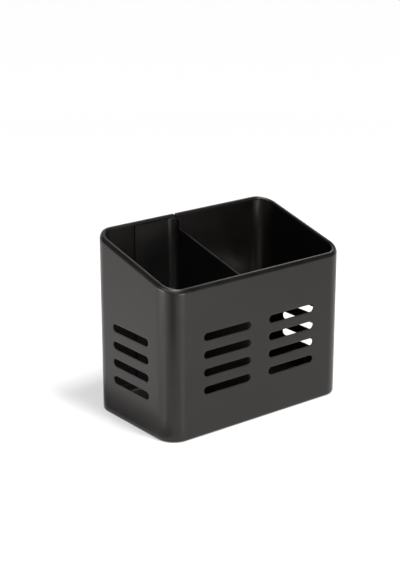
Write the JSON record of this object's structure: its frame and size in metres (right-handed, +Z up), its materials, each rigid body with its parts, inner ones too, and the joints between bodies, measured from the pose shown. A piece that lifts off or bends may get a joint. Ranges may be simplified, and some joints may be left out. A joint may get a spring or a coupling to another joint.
{
  "type": "cutlery basket",
  "caption": "Open-topped sheet steel basket with rounded corners, slotted walls, a rolled sloping rim, a raised perforated floor and a fixed divider.",
  "frame": {"origin": "middle of the rectangle that the basket stands on, on the table", "axes": "+Z up, -Y towards the low front wall, +X to the right when the front is faced"},
  "size_m": [0.1656, 0.0938, 0.1392],
  "materials": {
    "wrap_coat": "satin black powder coat",
    "pan_coat": "satin black powder coat",
    "divider_coat": "satin black powder coat"
  },
  "bodies": {
    "root": {"wrap": "wrap_coat", "floor_pan": "pan_coat", "divider": "divider_coat"}
  },
  "joints": []
}
